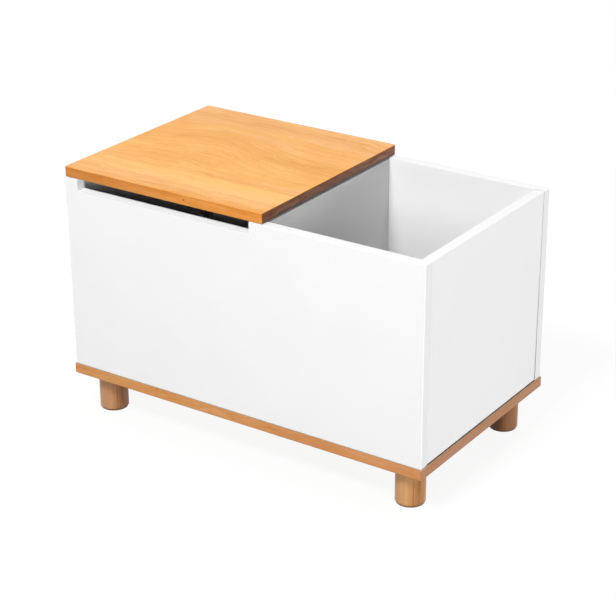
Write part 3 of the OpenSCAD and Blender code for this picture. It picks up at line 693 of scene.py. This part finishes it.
# Noise above which there is a scratch, its share, and its height beside the drawn surface's
SCRATCHED = (0.66, 0.72)
SCRATCH_SHARE = 0.35
SCRATCH_HEIGHT, DRAWN_HEIGHT = 0.5, 0.7
# What the drawn surface adds to the roughness
DRAWN_ROUGH = 0.10


def metal(node, slot, light, dark, roughness, brushed):
    """Plated metal, brushed or tumbled at this many features per metre, with faint spots and scratches."""
    g = Graph(slot + "." + node)
    drawn = g.noise(brushed, detail=3, roughness=0.6)
    cloud = g.noise(**METAL_CLOUD)
    hair = g.fade(g.noise(**METAL_HAIR), *SCRATCHED)
    colour = g.two_tone(cloud, dark, light)
    colour = g.blend(g.times(hair, SCRATCH_SHARE), colour, light)
    rough = g.add(g.spread(cloud, *roughness), g.times(drawn, DRAWN_ROUGH))
    height = g.weigh((drawn, DRAWN_HEIGHT), (hair, SCRATCH_HEIGHT))
    return g.surface(Base_Color=colour, Metallic=1.0, Roughness=rough, Normal=g.bump(height, METAL_BUMP))


def zinc_plate(node):
    return metal(node, "zinc_plate", light=srgb(206, 209, 214), dark=srgb(176, 180, 188),
                 roughness=(0.26, 0.38), brushed=(900, 900, 900))


def steel_plate(node):
    return metal(node, "steel_plate", light=srgb(220, 220, 218), dark=srgb(196, 196, 196),
                 roughness=(0.20, 0.32), brushed=(160, 3400, 3400))


# ---- Plastics and felt ----
PLASTIC_SHELL = {"per_metre": 2400, "detail": 2}
PLASTIC_FLOW = {"per_metre": (70, 240, 120), "detail": 3}
PLASTIC_BUMP = 0.00003
FELT_MAT = {"per_metre": 1400, "detail": 6, "roughness": 0.75, "distortion": 0.8}
FELT_PATCH = {"per_metre": 160, "detail": 3}
FELT_DARK = srgb(74, 60, 48)
FELT_PALE = srgb(124, 106, 88)
FELT_MAT_TONE, FELT_PATCH_TONE = 0.7, 0.3
FELT_ROUGH = (0.85, 1.0)
FELT_SHEEN = 0.3
FELT_BUMP = 0.0004


def plastic(node, slot, light, dark, roughness, **extra):
    """Moulded plastic: eggshell texture, faint flow marks and dull patches."""
    g = Graph(slot + "." + node)
    shell = g.noise(**PLASTIC_SHELL)
    flow = g.noise(**PLASTIC_FLOW)
    colour = g.two_tone(flow, dark, light)
    rough = g.spread(flow, *roughness)
    return g.surface(Base_Color=colour, Roughness=rough, Normal=g.bump(shell, PLASTIC_BUMP), **extra)


def white_plastic(node):
    return plastic(node, "white_plastic", light=srgb(236, 236, 234), dark=srgb(226, 226, 224),
                   roughness=(0.34, 0.46))


def nylon(node):
    return plastic(node, "nylon", light=srgb(232, 228, 216), dark=srgb(220, 216, 202),
                   roughness=(0.40, 0.52))


def silicone(node):
    return plastic(node, "silicone", light=srgb(228, 232, 236), dark=srgb(214, 220, 226),
                   roughness=(0.22, 0.34), Transmission_Weight=0.55, IOR=1.41)


def felt(node):
    """Pressed felt: matted short fibres in two browns."""
    g = Graph("felt." + node)
    mat = g.noise(**FELT_MAT)
    patch = g.noise(**FELT_PATCH)
    tone = g.weigh((mat, FELT_MAT_TONE), (patch, FELT_PATCH_TONE))
    colour = g.two_tone(tone, FELT_DARK, FELT_PALE, NOISE_NARROW)
    rough = g.spread(mat, *FELT_ROUGH)
    return g.surface(Base_Color=colour, Roughness=rough, Sheen_Weight=FELT_SHEEN,
                     Normal=g.bump(mat, FELT_BUMP))


# Each finish is named after the record's material slot
FINISHES = {finish.__name__: finish for finish in (
    white_board, woodgrain_board, turned_wood, dowel_wood, zinc_plate, steel_plate,
    white_plastic, nylon, silicone, felt)}


def dress_nodes():
    for name, piece in frame["nodes"].items():
        slot = piece.data.materials[0].name.split(".")[0]
        piece.data.materials[0] = FINISHES[slot](name)


# ---- Stage ----

def clear_startup():
    """Removes what a new Blender file holds, so that only the part is left."""
    kept = set(frame["nodes"].values()) | set(frame["bodies"].values())
    for thing in [o for o in bpy.data.objects if o not in kept]:
        bpy.data.objects.remove(thing)


def seen_share(tree):
    """1 for rays from the camera, mirror reflections and clear materials, and 0 for diffuse light."""
    path = tree.nodes.new("ShaderNodeLightPath")
    seen = path.outputs["Is Camera Ray"]
    for ray in ("Is Glossy Ray", "Is Transmission Ray"):
        either = tree.nodes.new("ShaderNodeMath")
        either.operation = "MAXIMUM"
        tree.links.new(seen, either.inputs[0])
        tree.links.new(path.outputs[ray], either.inputs[1])
        seen = either.outputs[0]
    return seen


def floor_paper():
    """Floor that looks white and keeps the object's shadow, but throws little light back at the object."""
    g = Graph("floor")
    seen = seen_share(g.tree)
    mottle = g.noise(FLOOR_PATCHES, detail=3)
    white = g.spread(mottle, FLOOR_WHITE * FLOOR_MOTTLE, FLOOR_WHITE)
    bounce = (FLOOR_BOUNCE, FLOOR_BOUNCE, FLOOR_BOUNCE, 1.0)
    paper = g.blend(seen, bounce, g.join(white, white, white))
    g.surface(Base_Color=paper, Roughness=FLOOR_ROUGHNESS)
    glow = g.node("ShaderNodeEmission", Color=WHITE, Strength=BACKGROUND)
    plain = g.fade(g.vector("LENGTH", g.place), *FLOOR_CLEAR, FLOOR_GLOW, 1.0)
    both = g.node("ShaderNodeMixShader")
    for socket, value in zip(both.inputs, (g.times(seen, plain), g.shader.outputs[0], glow.outputs[0])):
        g.put(socket, value)
    g.put(g.tree.nodes["Material Output"].inputs["Surface"], both.outputs[0])
    return g.material


def make_floor():
    half = FLOOR_SIZE / 2
    mesh = bpy.data.meshes.new("floor")
    corners = [(-half, -half, 0), (half, -half, 0), (half, half, 0), (-half, half, 0)]
    mesh.from_pydata(corners, [], [(0, 1, 2, 3)])
    mesh.materials.append(floor_paper())
    floor = bpy.data.objects.new("floor", mesh)
    bpy.context.scene.collection.objects.link(floor)


def make_world():
    """Dim light from all round, which looks white wherever the background shows."""
    world = bpy.context.scene.world or bpy.data.worlds.new("studio")
    bpy.context.scene.world = world
    world.use_nodes = True
    tree = world.node_tree
    mix = tree.nodes.new("ShaderNodeMixShader")
    dim, white = tree.nodes["Background"], tree.nodes.new("ShaderNodeBackground")
    for shader, strength in ((dim, AMBIENT), (white, BACKGROUND)):
        shader.inputs["Color"].default_value = WHITE
        shader.inputs["Strength"].default_value = strength
    for socket, value in zip(mix.inputs, (seen_share(tree), dim.outputs[0], white.outputs[0])):
        tree.links.new(value, socket)
    tree.links.new(mix.outputs[0], tree.nodes["World Output"].inputs["Surface"])


def make_lamps(target):
    for name, lamp in LAMPS.items():
        light = bpy.data.lights.new(name, "AREA")
        light.shape = "RECTANGLE"
        light.size, light.size_y = lamp["size"]
        light.energy = lamp["power"]
        holder = bpy.data.objects.new(name, light)
        holder.location = lamp["place"]
        holder.rotation_mode = "QUATERNION"
        holder.rotation_quaternion = (target - holder.location).to_track_quat("-Z", "Y")
        holder.visible_camera = False
        holder.visible_glossy = name == GLOSS_LAMP
        bpy.context.scene.collection.objects.link(holder)


def make_camera():
    camera = bpy.data.cameras.new("camera")
    camera.lens = CAMERA_LENS
    camera.sensor_width = CAMERA_SENSOR
    holder = bpy.data.objects.new("camera", camera)
    bpy.context.scene.collection.objects.link(holder)
    turn = Matrix.Rotation(CAMERA_YAW, 4, "Z") @ Matrix.Rotation(math.pi / 2 + CAMERA_PITCH, 4, "X")
    holder.matrix_world = Matrix.Translation(CAMERA_PLACE) @ turn @ Matrix.Rotation(CAMERA_ROLL, 4, "Z")
    bpy.context.scene.camera = holder


clear_startup()
cad_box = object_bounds()
make_camera()
make_world()
make_lamps((cad_box[0] + cad_box[1]) / 2)
make_floor()
dress_nodes()
bpy.context.scene.view_settings.view_transform = "Standard"
